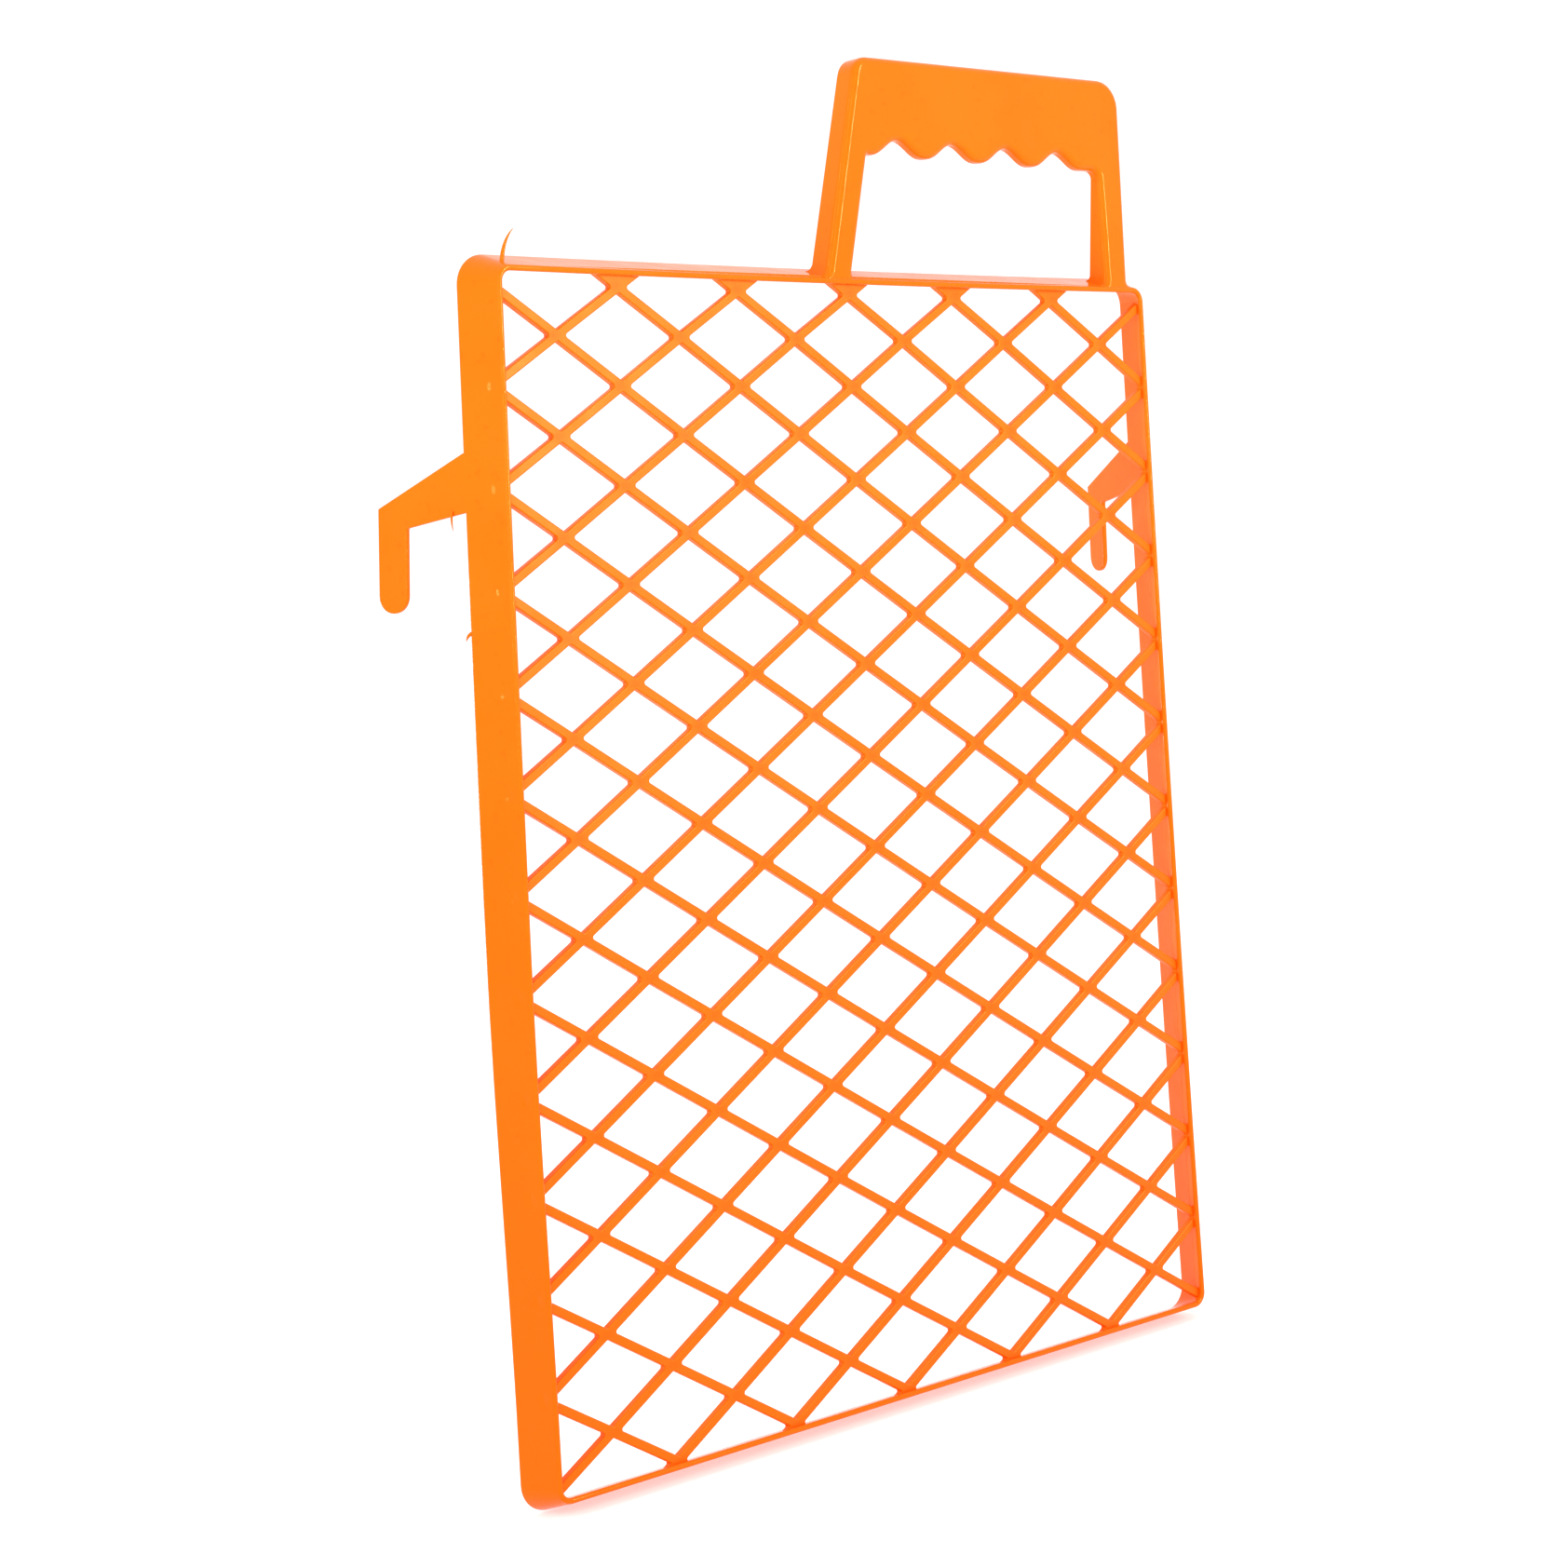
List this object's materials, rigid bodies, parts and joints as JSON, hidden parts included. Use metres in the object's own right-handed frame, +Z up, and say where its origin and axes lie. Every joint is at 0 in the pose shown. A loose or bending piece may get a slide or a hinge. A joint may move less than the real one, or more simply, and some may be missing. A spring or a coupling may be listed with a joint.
{
  "type": "paint roller bucket grid",
  "caption": "Plastic paint-roller grid for a bucket: open diamond mesh in a thin flared rim, with side hooks and a scalloped grip handle.",
  "frame": {"origin": "midway between the two hooks, on the line where their arms lie on the bucket's rim", "axes": "+Z up through the handle, -Y out of the rolling face, +Y back along the hooks, +X to the right seen from the rolling face"},
  "size_m": [0.2532, 0.0376, 0.3601],
  "materials": {
    "orange_plastic": "satin injection-moulded polypropylene, slightly translucent where thin"
  },
  "bodies": {
    "root": {"diamond_mesh": "orange_plastic", "top_wall": "orange_plastic", "bottom_wall": "orange_plastic", "left_wall": "orange_plastic", "right_wall": "orange_plastic", "left_hook": "orange_plastic", "right_hook": "orange_plastic", "handle_left_leg": "orange_plastic", "handle_right_leg": "orange_plastic", "handle_grip": "orange_plastic"}
  },
  "joints": []
}
